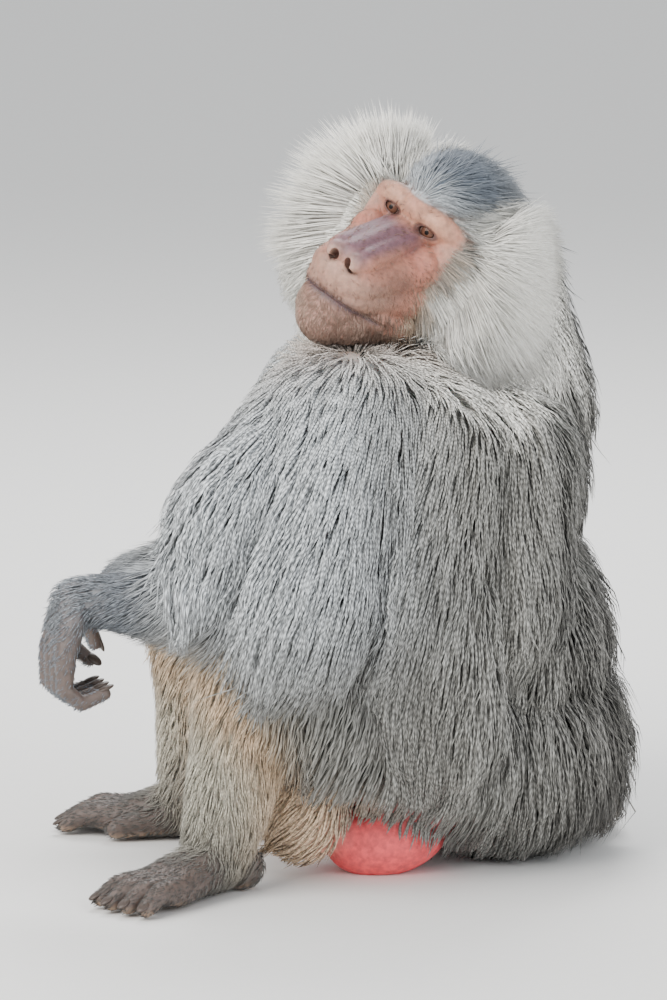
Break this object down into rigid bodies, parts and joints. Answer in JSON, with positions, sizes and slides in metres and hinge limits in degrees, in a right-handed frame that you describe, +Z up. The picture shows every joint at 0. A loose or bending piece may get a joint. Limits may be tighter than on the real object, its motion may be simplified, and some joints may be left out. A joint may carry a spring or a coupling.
{
  "type": "seated hamadryas baboon",
  "caption": "Life-size seated male baboon with a long mantle, white cheek ruffs and a long muzzle, head turned to its left and left arm over its knee.",
  "frame": {"origin": "on the floor at the middle of the part's bounding box", "axes": "+Z up, the animal's body faces -Y and its left side is +X"},
  "size_m": [0.5958, 0.5918, 0.7146],
  "materials": {
    "face_skin": "bare pinkish brown skin with fine folds",
    "eye": "wet dark hazel eye",
    "ruff_fur": "long soft silver white hair",
    "mantle_fur": "long grizzled grey hair in hanging locks",
    "back_fur": "dark grey brown hair",
    "leg_fur": "short cream grey and tan hair",
    "arm_fur": "dark blue grey hair",
    "hand_skin": "dark wrinkled bare skin",
    "pad_skin": "smooth coral pink bare skin"
  },
  "bodies": {
    "root": {"head": "face_skin", "ear_left": "face_skin", "ear_right": "face_skin", "eye_left": "eye", "eye_right": "eye", "ruff_left": "ruff_fur", "ruff_right": "ruff_fur", "neck": "mantle_fur", "chest": "mantle_fur", "rump": "back_fur", "upper_arm_left": "mantle_fur", "upper_arm_right": "mantle_fur", "forearm_left": "arm_fur", "forearm_right": "arm_fur", "hand_left": "hand_skin", "hand_right": "hand_skin", "thigh_left": "leg_fur", "thigh_right": "leg_fur", "shank_left": "leg_fur", "shank_right": "leg_fur", "foot_left": "hand_skin", "foot_right": "hand_skin", "pad_left": "pad_skin", "pad_right": "pad_skin", "tail_base": "back_fur", "tail_middle": "back_fur", "tail_tip": "back_fur"}
  },
  "joints": []
}
